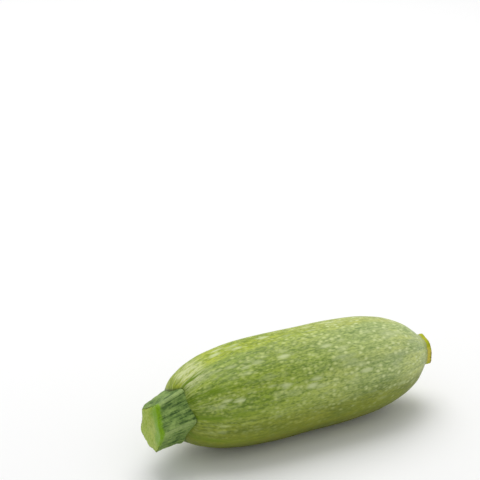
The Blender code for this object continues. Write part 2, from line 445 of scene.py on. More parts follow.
@dataclass(frozen=True)
class SkinFinish:
    """Thin waxy skin: streaked and grained green, with bloom partly painted as sheen, rows of pale
    spots and flecks, and painted light and shade.
    """

    radius: float  # of the fruit, to turn widths into angles
    height: float  # of the fruit as it lies
    near_green: Colour = (0.208, 0.300, 0.032)
    far_green: Colour = (0.410, 0.503, 0.196)
    lit_yellow_green: Colour = (0.305, 0.390, 0.012)
    lit_yellow_pale: Colour = (0.350, 0.415, 0.110)
    # Olive colours of the lower side and the belly, darkened as painted shade
    low_olive_shade: Colour = (0.190, 0.232, 0.018)
    belly_olive_shade: Colour = (0.145, 0.168, 0.006)
    shade_tint: Colour = (0.65, 0.71, 0.62)
    light_tint: Colour = (1.38, 1.31, 1.36)
    warm_tint: Colour = (1.07, 1.01, 0.75)
    cool_tint: Colour = (0.94, 1.00, 1.12)
    grey_bloom_and_sheen: Colour = (0.420, 0.500, 0.245)
    fleck_colour: Colour = (0.600, 0.680, 0.230)
    far_fleck: Colour = (0.640, 0.720, 0.350)
    spot_colour: Colour = (0.570, 0.650, 0.310)
    streak_green: Colour = (0.150, 0.250, 0.005)
    shoulder_highlight: Colour = (0.660, 0.710, 0.370)
    crease_shadow: Colour = (0.050, 0.095, 0.008)
    patch_grain: Grain = (24.0, 9.0)  # millimetres, and so are the next ones
    band_grain: Grain = (26.0, 2.4)
    streak_grain: Grain = (16.0, 1.1)
    mottle_grain: Grain = (3.2, 1.3)
    fine_grain: Grain = (2.0, 0.75)
    blotch_grain: Grain = (15.0, 5.0)
    dot_grain: Grain = (3.4, 2.3)
    dash_grain: Grain = (2.4, 0.8)
    speck_grain: Grain = (2.5, 1.15)
    spot_grain: Grain = (8.5, 3.4)
    thread_grain: Grain = (12.0, 1.3)
    relief: float = 0.00015
    lit_yellow_side: float = math.radians(64.0)  # of the band that is yellower and painted lighter, as lit from above, from +Y to +Z
    shoulder_side: float = math.radians(90.0)  # of the painted highlight on the shoulder, likewise

    def on_skin(self, grain: Grain) -> Grain:
        """A grain's size in millimetres, turned into metres along and radians round."""
        length, width = grain
        return length * MILLIMETRE, width * MILLIMETRE / self.radius

    def material(self) -> bpy.types.Material:
        """The skin's material."""
        sheet = Sheet(Slot.SKIN.value)
        place = sheet.vector(Track.PLACE)
        rib = sheet.number(Track.RIB)
        crease = sheet.number(Track.CREASE)
        along, across, upward = sheet.parts(place)
        spot = sheet.spot()
        height = sheet.parts(spot)[2] * (1.0 / self.height)

        patches = sheet.cloud(place, self.on_skin(self.patch_grain), 1.0)
        bands = sheet.cloud(place, self.on_skin(self.band_grain), 10.0, 1.0)
        streaks = sheet.cloud(place, self.on_skin(self.streak_grain), 2.0, 3.0, 0.6)
        mottle = sheet.cloud(place, self.on_skin(self.mottle_grain), 3.0, 3.0, 0.6)
        grains = sheet.cloud(place, self.on_skin(self.fine_grain), 4.0, 1.0)
        near_stalk = along.fall(0.012, 0.060)
        facing = across * math.cos(self.lit_yellow_side) + upward * math.sin(self.lit_yellow_side)
        shoulder = across * math.cos(self.shoulder_side) + upward * math.sin(self.shoulder_side)
        lit = height.step(0.20, 0.64, 0.30, 1.0)

        # Ground colour: greener towards the stalk, yellower with painted light on its upper side,
        # olive with painted shade beneath
        far = (along + (patches - 0.5) * 0.06).step(0.050, 0.145)
        ground = sheet.mix(far, self.near_green, self.far_green)
        # Painted light: the upper band is made lighter as well as yellower
        lit_yellow = (facing + (patches - 0.5) * 0.20).step(0.74, 0.93) * 0.90
        ground = sheet.mix(lit_yellow, ground, sheet.mix(far, self.lit_yellow_green, self.lit_yellow_pale))
        # Painted shade: the lower half turns a darker olive
        low = (height + (patches - 0.5) * 0.20).fall(0.34, 0.66)
        ground = sheet.mix(low, ground, self.low_olive_shade)
        # Painted shade: the belly turns darker still
        belly = height.fall(0.06, 0.34)
        ground = sheet.mix(belly, ground, self.belly_olive_shade)

        # Bands, streaks, mottle and grain
        warmth = bands * 0.5 + patches.step(0.30, 0.70) * 0.5
        ground = sheet.tinted(ground, sheet.mix(warmth, self.cool_tint, self.warm_tint))
        spread = (streaks - 0.5) * 2.0 + (mottle - 0.5) * 1.5 + (grains - 0.5) * 2.7
        banding = (bands - 0.5) * along.step(0.020, 0.090, 2.4, 0.9)
        banding = banding * height.step(0.18, 0.55, 0.4, 1.0)
        coarse = along.step(0.070, 0.140, 1.0, 0.85)
        tone = 0.5 + (patches - 0.5) * 0.9 + banding + spread * lit * coarse
        colour = sheet.tinted(ground, sheet.mix(tone, self.shade_tint, self.light_tint))

        # Grey waxy bloom on the flanks, partly painted sheen there, and round the flower end
        flank = height.step(0.42, 0.68) * height.step(0.86, 0.98, 1.0, 0.2)
        blotches = sheet.cloud(place, self.on_skin(self.blotch_grain), 5.0, 3.0, 0.55)
        bloom = flank * (blotches + (mottle - 0.5) * 0.25).step(0.50, 0.72)
        bloom = bloom * along.step(0.020, 0.130, 0.22, 0.80) + along.step(0.143, 0.160) * 0.35
        colour = sheet.mix(bloom, colour, self.grey_bloom_and_sheen)

        # Small dots and dashes, thin near the belly, denser towards the flower
        dot_cells, dot_own = sheet.cells(place, self.on_skin(self.dot_grain), 6.0)
        dots = dot_cells.fall(0.06, 0.48) * dot_own.step(0.10, 0.60, 0.25, 1.0)
        dots = dots * along.step(0.030, 0.130, 0.55, 1.0)
        dashes = sheet.cloud(place, self.on_skin(self.dash_grain), 7.0, 1.0).step(0.54, 0.68)
        speck_cells, speck_own = sheet.cells(place, self.on_skin(self.speck_grain), 11.0)
        specks = speck_cells.fall(0.08, 0.46) * speck_own.step(0.20, 0.70)
        flecks = dots * along.step(0.060, 0.130, 0.90, 1.15) + dashes * 0.20 + specks * 0.35
        flecks = flecks * height.step(0.22, 0.75, 0.16, 1.0)
        colour = sheet.mix(flecks, colour, sheet.mix(far, self.fleck_colour, self.far_fleck))

        # Pale spots, soft and longish, in rows between the ribs
        rows = rib.step(-0.9, 0.3, 1.0, 0.10) * along.step(0.014, 0.040)
        spot_cells, spot_own = sheet.cells(place, self.on_skin(self.spot_grain), 8.0)
        spots = (spot_cells + (streaks - 0.5) * 0.6).fall(0.10, 0.56)
        spots = spots * spot_own.step(0.05, 0.50, 0.1, 1.0) * rows
        spots = spots * height.step(0.25, 0.65, 0.15, 1.0) * along.step(0.110, 0.150, 1.0, 0.5)
        colour = sheet.mix(spots * 0.95, colour, self.spot_colour)

        # By the stalk: thin dark streaks that run on from its corners, pale ones between them, a
        # painted highlight on the shoulder and a painted shadow round the stalk's foot
        threads = sheet.cloud(place, self.on_skin(self.thread_grain), 9.0, 2.0, 0.5)
        pale = near_stalk * threads.step(0.50, 0.68) * rib.step(-0.4, 0.7, 1.0, 0.1)
        pale = pale * height.step(0.25, 0.60, 0.05, 1.0)
        pale = pale * facing.step(0.80, 0.97, 0.50, 0.25)
        colour = sheet.mix(pale, colour, self.fleck_colour)
        # Painted highlight: a pale patch on the shoulder by the stalk, broken into streaks
        highlight_patch = shoulder.step(0.87, 0.985) * along.step(0.012, 0.018)
        highlight_patch = highlight_patch * along.fall(0.022, 0.035)
        highlight_patch = highlight_patch * (threads * 0.45 + mottle * 0.55).step(0.36, 0.56)
        colour = sheet.mix(highlight_patch * 0.85, colour, self.shoulder_highlight)
        dark = rib.step(0.35, 0.95) * threads.step(0.38, 0.58, 1.0, 0.1)
        dark = near_stalk * (dark + rib.step(0.75, 0.98) * patches.step(0.35, 0.60, 0.25, 0.65))
        dark = dark * facing.step(0.70, 0.92, 0.90, 0.25) * height.step(0.20, 0.48, 0.35, 1.0)
        colour = sheet.mix(dark, colour, self.streak_green)
        # Painted shadow: a dark line in the crease where the skin meets the stalk's foot
        colour = sheet.mix(crease**2.0 * 0.85, colour, self.crease_shadow)

        gloss = 0.47 + (blotches - 0.5) * 0.22 + (mottle - 0.5) * 0.20 + belly * 0.12
        skin = sheet.bump(mottle + grains * 0.6 + flecks * 0.4 + spots * 0.5, self.relief, 0.6)
        return sheet.finish(
            {
                "Base Color": colour,
                "Roughness": gloss,
                "Normal": skin,
                "Coat Weight": 0.06 - belly * 0.06,
                "Coat Roughness": 0.25,
                "Specular IOR Level": 0.22,
            }
        )


@dataclass(frozen=True)
class StalkFinish:
    """Fibrous dark green rind with a grey bloom, and a moist cut end."""

    deep_rind: Colour = (0.045, 0.102, 0.020)
    rind_green: Colour = (0.220, 0.345, 0.080)
    groove_green: Colour = (0.018, 0.048, 0.008)
    bloom: Colour = (0.300, 0.420, 0.118)
    ridge_pale: Colour = (0.390, 0.510, 0.180)
    cut_rim: Colour = (0.070, 0.075, 0.010)
    cortex_green: Colour = (0.190, 0.370, 0.002)
    pith_green: Colour = (0.310, 0.430, 0.040)
    pith_pale: Colour = (0.480, 0.580, 0.115)
    bundle_green: Colour = (0.200, 0.310, 0.025)
    bright_side: float = math.radians(150.0)  # of the cut's brightest green, from +Y to +Z
    fibre_grain: Grain = (0.50, 0.080)  # share of the stalk's length, radians
    strand_grain: Grain = (0.45, 0.038)
    patch_grain: Grain = (0.22, 0.30)
    dent_size: Grain = (0.0014, 0.0014)  # metres, and so are the next ones
    grit_size: Grain = (0.0006, 0.0006)
    speckle_size: Grain = (0.0011, 0.0011)
    bundle_size: Grain = (0.0024, 0.0024)
    coarse_relief: float = 0.00034
    fine_relief: float = 0.00024

    def material(self) -> bpy.types.Material:
        """The stalk's material."""
        sheet = Sheet(Slot.RIND.value)
        place = sheet.vector(Track.PLACE)
        ridge = sheet.number(Track.RIB)
        cut = sheet.number(Track.CUT)
        up, across, upward = sheet.parts(place)
        spot = sheet.spot()
        height = sheet.parts(spot)[2]

        # The rind: fibres along it, granular bloom in patches, dark grooves, pale worn ridges
        fibres = sheet.cloud(place, self.fibre_grain, 1.0, 3.0, 0.6)
        strands = sheet.cloud(place, self.strand_grain, 2.0, 2.0, 0.6)
        patches = sheet.cloud(place, self.patch_grain, 7.0, 2.0, 0.5)
        dents = sheet.cloud(spot, self.dent_size, 3.0, 3.0, 0.6)
        grit = sheet.cloud(spot, self.grit_size, 4.0, 1.0)
        tone = 0.50 + (fibres - 0.5) * 3.0 + (strands - 0.5) * 1.6 + (dents - 0.5) * 1.6
        tone = tone + (patches - 0.5) * 0.9
        rind = sheet.mix(tone, self.deep_rind, self.rind_green)
        dusty = (patches * 0.6 + dents * 0.25 + fibres * 0.15).step(0.44, 0.60) * 0.80
        dusty = dusty + (grit - 0.5) * 0.7
        dusty = dusty * height.step(0.010, 0.024, 0.35, 0.85)
        dusty = dusty * height.step(0.026, 0.036, 1.0, 0.60)
        rind = sheet.mix(dusty, rind, self.bloom)
        grooves = strands.fall(0.30, 0.42) * patches.step(0.40, 0.56, 1.0, 0.1)
        rind = sheet.mix(grooves * 0.75, rind, self.groove_green)
        foot = up.step(0.25, 0.30) * up.fall(0.32, 0.38)
        worn = ridge.step(0.84, 1.0) * strands.step(0.30, 0.62, 0.35, 1.0)
        worn = worn + foot * 0.6 * dents.step(0.30, 0.60)
        rind = sheet.mix(worn * 0.62, rind, self.ridge_pale)
        beside = ridge.step(0.40, 0.66) * ridge.fall(0.70, 0.90)
        rind = sheet.mix(beside * fibres.step(0.35, 0.60, 0.55, 0.1), rind, self.groove_green)

        # The cut: bright cortex on one side, brown rim on the other, pale pith, ring of bundles
        speckle = sheet.cloud(spot, self.speckle_size, 5.0, 3.0, 0.6)
        ragged = cut + (speckle - 0.5) * 0.16
        pith = sheet.mix(speckle.step(0.32, 0.68), self.pith_green, self.pith_pale)
        facing = across * math.cos(self.bright_side) + upward * math.sin(self.bright_side)
        cortex = ragged.step(0.22, 0.62) * facing.step(-0.1, 0.75, 0.12, 1.0)
        end = sheet.mix(cortex, pith, self.cortex_green)
        dots, own = sheet.cells(spot, self.bundle_size, 6.0)
        bundles = dots.fall(0.10, 0.26) * own.step(0.2, 0.5)
        bundles = bundles * ragged.step(0.50, 0.58) * ragged.fall(0.74, 0.84)
        end = sheet.mix(bundles * 0.5, end, self.bundle_green)
        rim = ragged.step(0.93, 0.985) * facing.step(-0.1, 0.6, 0.85, 0.15)
        end = sheet.mix(rim, end, self.cut_rim)
        is_rind = (cut + (speckle - 0.5) * 0.05).step(0.985, 1.01)
        seep = (cut + (dents - 0.5) * 0.18).fall(1.03, 1.12) * facing.step(0.0, 0.7)
        rind = sheet.mix(seep * 0.90, rind, self.cortex_green)
        colour = sheet.mix(is_rind, end, rind)

        damp = 0.42 + (speckle - 0.5) * 0.2
        dry = 0.64 + (dents - 0.5) * 0.3
        coarse = fibres * 0.8 + strands * 0.6 - grooves * 0.5
        coarse = sheet.bump(coarse, self.coarse_relief, 0.65)
        fine = sheet.bump(dents + grit * 0.5 + speckle * 0.5, self.fine_relief, 0.6, coarse)
        return sheet.finish(
            {
                "Base Color": colour,
                "Roughness": damp + (dry - damp) * is_rind,
                "Normal": fine,
                "Specular IOR Level": 0.20,
            }
        )


@dataclass(frozen=True)
class ScarFinish:
    """Dry, rough cork: olive-yellow beside the skin, brown on its dried rim."""

    skin_grey: Colour = (0.400, 0.440, 0.200)
    olive: Colour = (0.430, 0.475, 0.020)
    tan: Colour = (0.640, 0.560, 0.085)
    brown: Colour = (0.200, 0.140, 0.012)
    pale: Colour = (0.520, 0.480, 0.260)
    ray_grain: Grain = (0.8, 0.10)  # share of the scar's height, radians
    patch_size: Grain = (0.0042, 0.0042)  # metres, and so are the next ones
    flake_size: Grain = (0.0012, 0.0012)
    pore_size: Grain = (0.0004, 0.0004)
    coarse_relief: float = 0.00040
    fine_relief: float = 0.00015

    def material(self) -> bpy.types.Material:
        """The scar's material."""
        sheet = Sheet(Slot.CORK.value)
        place = sheet.vector(Track.PLACE)
        cut = sheet.number(Track.CUT)
        up, _, upward = sheet.parts(place)
        spot = sheet.spot()
        patches = sheet.cloud(spot, self.patch_size, 4.0, 2.0)
        flakes = sheet.cloud(spot, self.flake_size, 1.0, 4.0, 0.65)
        pores = sheet.cloud(spot, self.pore_size, 2.0, 2.0)
        rays = sheet.cloud(place, self.ray_grain, 3.0, 3.0, 0.6)
        tone = flakes * 0.5 + rays * 0.5
        side = sheet.mix((patches - upward * 0.10).step(0.44, 0.58), self.olive, self.tan)
        side = sheet.mix(tone.step(0.30, 0.50, 0.45, 0.0), side, self.brown)
        face = sheet.mix(tone.step(0.35, 0.65), self.tan, self.pale)
        face = sheet.mix(cut.step(0.20, 0.40, 0.6, 0.0), face, self.brown)
        colour = sheet.mix(cut.step(0.90, 1.0), face, side)
        rim = cut.step(0.80, 0.97) * up.step(0.80, 0.98) * tone.step(0.34, 0.54)
        colour = sheet.mix(rim * upward.step(-0.2, 0.6, 0.95, 0.45), colour, self.brown)
        colour = sheet.mix(pores.step(0.58, 0.72) * 0.4, colour, self.brown)
        join = up - upward * 0.10 + (flakes - 0.5) * 0.35
        colour = sheet.mix(join.fall(0.34, 0.46), colour, self.skin_grey)
        coarse = sheet.bump(flakes + rays * 0.6, self.coarse_relief, 0.7)
        return sheet.finish(
            {
                "Base Color": colour,
                "Roughness": 0.80 + (flakes - 0.5) * 0.25,
                "Normal": sheet.bump(pores, self.fine_relief, 0.5, coarse),
                "Specular IOR Level": 0.22,
            }
        )


# Forms


@dataclass(frozen=True)
class FruitForm:
    """The grown form of the fruit. Lengths run along +X from the shoulder round the stalk."""

    outline: tuple[tuple[float, float], ...] = (
        (-0.020, 0.000),
        (-0.015, 0.280),
        (0.000, 0.545),
        (0.036, 0.690),
        (0.092, 0.819),
        (0.183, 0.937),
        (0.326, 1.000),
        (0.510, 0.995),
        (0.672, 0.980),
        (0.815, 0.884),
        (0.920, 0.672),
        (0.965, 0.486),
        (0.988, 0.365),
        (1.000, 0.295),
        (1.004, 0.180),
        (1.005, 0.000),
    )  # share of the length, share of the greatest radius
    length: float = 0.1328
    greatest_radius: float = 0.0250
    corners: int = 5
    corner_angle: float = math.radians(28.5)
    lobe_height: float = 0.0005
    lobe_reach: float = 0.45
    rib_height: float = 0.00018
    neck_bend: tuple[float, float, float] = (0.0, -0.0011, 0.0001)
    tip_bend: tuple[float, float, float] = (0.0, -0.0011, 0.0006)
    bend_reach: float = 0.5
    set_back_most: float = 0.0048
    set_back_angle: float = math.radians(150.0)
    set_back_narrowness: float = 2.5
    set_back_reach: float = 0.15
    axis_zone: float = 0.0125
    merge: float = 0.000002
    solid_steps: int = 3
    solid_around: int = 80

    def axis_shift(self, x: Array) -> Array:
        """How far the fruit's axis lies off the straight X line, one row for each x."""
        share = np.atleast_1d(x) / self.length
        neck = np.maximum(0.0, 1.0 - share / self.bend_reach) ** 2
        tip = np.maximum(0.0, 1.0 - (1.0 - share) / self.bend_reach) ** 2
        return np.outer(neck, self.neck_bend) + np.outer(tip, self.tip_bend)

    def set_back(self, angle: Array) -> Array:
        """How far the shoulder is set back along X at each angle."""
        facing = 0.5 + 0.5 * np.cos(angle - self.set_back_angle)
        return self.set_back_most * facing**self.set_back_narrowness

    def swell(self, x: Array, angle: Array) -> Array:
        """How far the skin stands out of the turned outline."""
        share = x / self.length
        turn = angle - self.corner_angle
        lobe = self.lobe_height * fade(share / self.lobe_reach)
        rib = self.rib_height * np.sqrt(np.sin(math.pi * np.clip(share, 0.0, 1.0)))
        return rib * np.cos(2 * self.corners * turn) - lobe * np.cos(self.corners * turn)

    def grown(self, points: Array, extra: Array | float = 0.0) -> Array:
        """Places of the turned outline's points on the grown fruit, stood out by extra."""
        x, y, z = points.T
        radius = np.hypot(y, z)
        angle = np.arctan2(z, y)
        spread = np.minimum(1.0, radius / self.axis_zone)
        wide = 1.0 + spread * (self.swell(x, angle) + extra) / np.maximum(radius, self.merge)
        back = spread * self.set_back(angle) * fade(x / self.length / self.set_back_reach)
        return np.column_stack((x + back, y * wide, z * wide)) + self.axis_shift(x)

    def turned(self, name: str, steps: int, around: int) -> bpy.types.Object:
        """The outline drawn as a smooth curve and spun about the X axis, with its arc length.

        Args:
            name: name of the new object.
            steps: straight runs between two outline points.
            around: faces round the axis.

        Returns:
            A closed mesh object. Its Track.CUT holds the way along the skin in metres.
        """
        put_down()
        bpy.ops.curve.primitive_bezier_curve_add()
        profile = bpy.context.object
        profile.name = name
        spline = profile.data.splines[0]
        spline.bezier_points.add(len(self.outline) - len(spline.bezier_points))
        for point, (share, out) in zip(spline.bezier_points, self.outline):
            point.co = (share * self.length, 0.0, out * self.greatest_radius)
            point.handle_left_type = "AUTO"
            point.handle_right_type = "AUTO"
        profile.data.resolution_u = steps
        spline.resolution_u = steps
        bpy.ops.object.convert(target="MESH")
        line = places_of(profile)
        runs = np.linalg.norm(np.diff(line, axis=0), axis=1)
        write_track(profile, Track.CUT, np.concatenate(([0.0], np.cumsum(runs))))
        edit(profile, "VERT")
        bpy.ops.mesh.select_all(action="SELECT")
        bpy.ops.mesh.spin(
            steps=around, angle=math.tau, center=(0.0, 0.0, 0.0), axis=(1.0, 0.0, 0.0)
        )
        close_up(profile, self.merge)
        return profile


@dataclass(frozen=True)
class StalkForm:
    """The five-ridged stalk, measured from the fruit's axis at the shoulder."""

    foot_middle: tuple[float, float, float] = (0.0004, -0.0002, -0.0013)
    cut_middle: tuple[float, float, float] = (-0.0172, -0.0093, 0.0007)
    bend: float = 1.15
    root_x: float = 0.0080
    foot_apothem: float = 0.0108
    cut_apothem: float = 0.0092
    cut_corners: tuple[tuple[float, float, float], ...] = (
        (0.0001, -0.0001, 0.00),
        (0.0029, 0.0000, 0.00),
        (0.0004, 0.0017, 0.00),
        (0.0009, 0.0004, 0.00),
        (-0.0004, 0.0000, 0.17),
    )  # at the cut, for each corner: how far set back, how far it stands out, radians turned on
    corner_stand: float = 0.0006
    corner_sharpness: float = 14.0
    foot_flare: float = 0.0006
    foot_flare_reach: float = 0.0050
    foot_curl: float = 0.0012
    foot_curl_reach: float = 0.0016

    def way_up(self, x: Array) -> Array:
        """Share of the way from the foot, 0, to the cut, 1."""
        return (self.foot_middle[0] - x) / (self.foot_middle[0] - self.cut_middle[0])

    def middle(self, x: Array) -> Array:
        """The stalk's centre line, one row for each x."""
        foot, cut = np.array(self.foot_middle), np.array(self.cut_middle)
        return foot + np.outer(np.maximum(0.0, self.way_up(x)) ** self.bend, cut - foot)

    def strays(self, angle: Array, fruit: FruitForm) -> Array:
        """How far the uneven cut's edge is set back, stands out and is turned on at each angle."""
        turn = (angle - fruit.corner_angle) / math.tau * fruit.corners % fruit.corners
        corner = np.floor(turn).astype(int) % fruit.corners
        corners = np.array(self.cut_corners)
        here, there = corners[corner], corners[(corner + 1) % fruit.corners]
        return here + (there - here) * ease(turn - np.floor(turn))[:, np.newaxis]

    def pentagon(self, angle: Array, apothem: Array, fruit: FruitForm) -> Array:
        """Distance from the centre to the outline of a pentagon with rounded corners."""
        total = np.zeros_like(angle)
        for side in range(fruit.corners):
            middle = fruit.corner_angle + (side + 0.5) * math.tau / fruit.corners
            total += np.maximum(0.0, np.cos(angle - middle)) ** self.corner_sharpness
        return apothem * total ** (-1.0 / self.corner_sharpness)

    def radius(self, x: Array, angle: Array, fruit: FruitForm) -> Array:
        """Distance from the centre line to the stalk's side."""
        toward_cut = ease(self.way_up(x))
        apothem = self.foot_apothem + (self.cut_apothem - self.foot_apothem) * toward_cut
        stray = self.strays(angle, fruit)[:, 1] * toward_cut
        turn = angle - fruit.corner_angle
        ridge = self.corner_stand * (0.5 + 0.5 * np.cos(fruit.corners * turn)) ** 2
        rise = x - self.foot_middle[0]
        flare = self.foot_flare * ease((rise + self.foot_flare_reach) / self.foot_flare_reach)
        curl = self.foot_curl * ease((rise + self.foot_curl_reach) / (2 * self.foot_curl_reach))
        return self.pentagon(angle, apothem, fruit) + ridge + flare - curl + stray


# Pieces


@dataclass
class Piece:
    """One grown piece that stands for one solid of the model."""

    name: str
    node: Node
    slot: Slot

    def settle(self, piece: bpy.types.Object, anchor: Anchor = Anchor.BOTH) -> None:
        """Fits the piece into its solid's box, which corrects it by a few hundredths of a mm.

        Args:
            piece: the piece, in place.
            anchor: the end that is fitted along X. The other end is then a foot in the skin.
        """
        low, high = (np.array(corner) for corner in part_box(self.node.value))
        places = places_of(piece)
        own_low, own_high = places.min(axis=0), places.max(axis=0)
        change = (high - low) / (own_high - own_low)
        if anchor is not Anchor.BOTH:
            change[0] = 1.0
        if anchor is Anchor.HIGH:
            own_low[0] = own_high[0] - (high[0] - low[0])
        move_to(piece, low + (places - own_low) * change)
        log.info("%s: scaled by %s to its box", self.name, np.round(change, 4))

    def hand_over(self, piece: bpy.types.Object, material: bpy.types.Material) -> None:
        """Dresses the piece and tells the frame what it is."""
        piece.data.materials.clear()
        piece.data.materials.append(material)
        smooth(piece)
        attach(piece, "root")
        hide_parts(self.node.value)
        log.info("%s: %d faces", self.name, len(piece.data.polygons))


@dataclass
class Fruit(Piece):
    """The fleshy fruit with its skin."""

    form: FruitForm
    stalk: StalkForm
    steps: int = 18  # straight runs between two outline points
    around: int = 256
    unevenness: float = 0.00012  # height of the soft lumps under the skin
    lump_length: float = 0.016
    lump_width: float = 0.55  # radians
    rib_waver: float = 0.09  # radians that a rib strays from its straight line
    waver_length: float = 0.045
    waver_width: float = 1.2  # radians
    waver_start: float = 0.3  # share of the length over which the ribs begin to stray
    crease_width: float = 0.0009
    crease_depth: float = 0.00018
    settling: float = 0.00015  # half the height over which the belly rounds into its flat spot

    def lying_shift(self, places: Array) -> Array:
        """The move that takes the form's frame to the frame of the model."""
        low, high = (np.array(corner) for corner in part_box(self.node.value))
        own_low, own_high = places.min(axis=0), places.max(axis=0)
        shift = 0.5 * (low + high) - 0.5 * (own_low + own_high)
        shift[2] = high[2] - own_high[2]
        return shift

    def crease(self, points: Array, grown: Array) -> Array:
        """1 where the skin meets the stalk's foot, 0 away from it."""
        from_axis = grown - self.form.axis_shift(np.zeros(1))
        middle = self.stalk.middle(from_axis[:, 0])
        side = from_axis - middle
        angle = np.arctan2(side[:, 2], side[:, 1])
        reach = self.stalk.radius(np.minimum(from_axis[:, 0], 0.0), angle, self.form)
        gap = (np.hypot(side[:, 1], side[:, 2]) - reach) / self.crease_width
        near = points[:, 0] < self.form.length * self.form.set_back_reach
        return np.where(near, np.exp(-np.maximum(gap, 0.0) ** 2), 0.0)

    def build(self) -> tuple[bpy.types.Object, Array]:
        """Spins the outline, grows ribs and lumps on it and flattens it where it lies.

        Returns:
            The fruit and the move from the form's frame to the frame of the model.
        """
        fruit = self.form.turned(self.name, self.steps, self.around)
        points = places_of(fruit)
        arc = np.zeros(len(points), np.float32)
        fruit.data.attributes[Track.CUT.value].data.foreach_get("value", arc)
        x, y, z = points.T
        angle = np.arctan2(z, y)
        shift = self.lying_shift(self.form.grown(points))
        uneven = self.unevenness * round_lumps(x, angle, self.lump_length, self.lump_width, 3.0)
        crease = self.crease(points, self.form.grown(points))
        places = self.form.grown(points, uneven - self.crease_depth * crease) + shift
        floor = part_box(self.node.value)[0].z
        above = places[:, 2] - floor
        soft = (above + self.settling) ** 2 / (4.0 * self.settling)
        above = np.where(above > self.settling, above, soft)
        above = np.where(places[:, 2] - floor < -self.settling, 0.0, above)
        places[:, 2] = floor + above
        move_to(fruit, places)
        waver = self.rib_waver * round_lumps(x, angle, self.waver_length, self.waver_width, 9.0)
        waver = waver * ease(x / (self.waver_start * self.form.length))
        turn = angle + waver - self.form.corner_angle
        write_track(fruit, Track.PLACE, np.column_stack((arc, np.cos(angle), np.sin(angle))))
        write_track(fruit, Track.RIB, np.cos(2 * self.form.corners * turn))
        write_track(fruit, Track.CREASE, crease)
        self.settle(fruit)
        return fruit, shift


def capped_cylinder(
    name: str, around: int, cuts: int, rings: tuple[float, ...]
) -> bpy.types.Object:
    """A closed cylinder of radius 1 from z = 0 to 1, cut into rows, with rings in its upper cap.

    Args:
        name: name of the new object.
        around: faces round the axis.
        cuts: rows cut into the side.
        rings: shares of the radius of the rings that are inset in the cap, from the outside in.

    Returns:
        The cylinder.
    """
    put_down()
    bpy.ops.mesh.primitive_cylinder_add(
        vertices=around, radius=1.0, depth=1.0, end_fill_type="NGON", location=(0.0, 0.0, 0.5)
    )
    piece = bpy.context.object
    piece.name = name
    bpy.ops.object.transform_apply(location=True, rotation=True, scale=True)
    edit(piece, "EDGE")
    pick_edges(piece, lambda edge: abs(edge.verts[0].co.z - edge.verts[1].co.z) > 0.5)
    bpy.ops.mesh.subdivide(number_cuts=cuts)
    bpy.ops.mesh.select_mode(type="FACE")
    bpy.ops.mesh.select_all(action="DESELECT")
    pick_face(piece, lambda middle: middle.z)
    outer = 1.0
    for share in rings:
        bpy.ops.mesh.inset(thickness=(outer - share) * math.cos(math.pi / around))
        outer = share
    bpy.ops.mesh.poke()
    bpy.ops.object.mode_set(mode="OBJECT")
    return piece


def stem_places(piece: bpy.types.Object) -> tuple[Array, Array, Array]:
    """Angle, share of the radius and share of the height of a capped cylinder's vertices."""
    across, upward, up = places_of(piece).T
    return np.arctan2(upward, across), np.hypot(across, upward), up


def write_stem(piece: bpy.types.Object, angle: Array, share: Array, up: Array) -> None:
    """Stores where each vertex of the former cylinder is, for the finish."""
    write_track(piece, Track.PLACE, np.column_stack((up, np.cos(angle), np.sin(angle))))
    write_track(piece, Track.CUT, np.where(up > ON_EDGE, share, 1.0 + (1.0 - up)))


def seat_on_fruit(piece: bpy.types.Object, form: FruitForm, shift: Array, sunk: float) -> None:
    """Takes the fruit's shape out of the piece's foot.

    Args:
        piece: the stalk or the scar, in place.
        form: the fruit's form.
        shift: the move from the form's frame to the frame of the model.
        sunk: how far the foot goes into the skin, so that no gap shows round it.
    """
    cutter = form.turned("seat", form.solid_steps, form.solid_around)
    grown = form.grown(places_of(cutter)) + shift
    move_to(cutter, grown)
    normals = np.zeros(3 * len(cutter.data.vertices))
    cutter.data.vertices.foreach_get("normal", normals)
    move_to(cutter, grown - sunk * normals.reshape(-1, 3))
    take_up(piece)
    bpy.ops.object.modifier_add(type="BOOLEAN")
    seat = piece.modifiers[-1]
    seat.operation = "DIFFERENCE"
    seat.solver = "EXACT"
    seat.object = cutter
    bpy.ops.object.modifier_apply(modifier=seat.name)
    bpy.data.objects.remove(cutter, do_unlink=True)


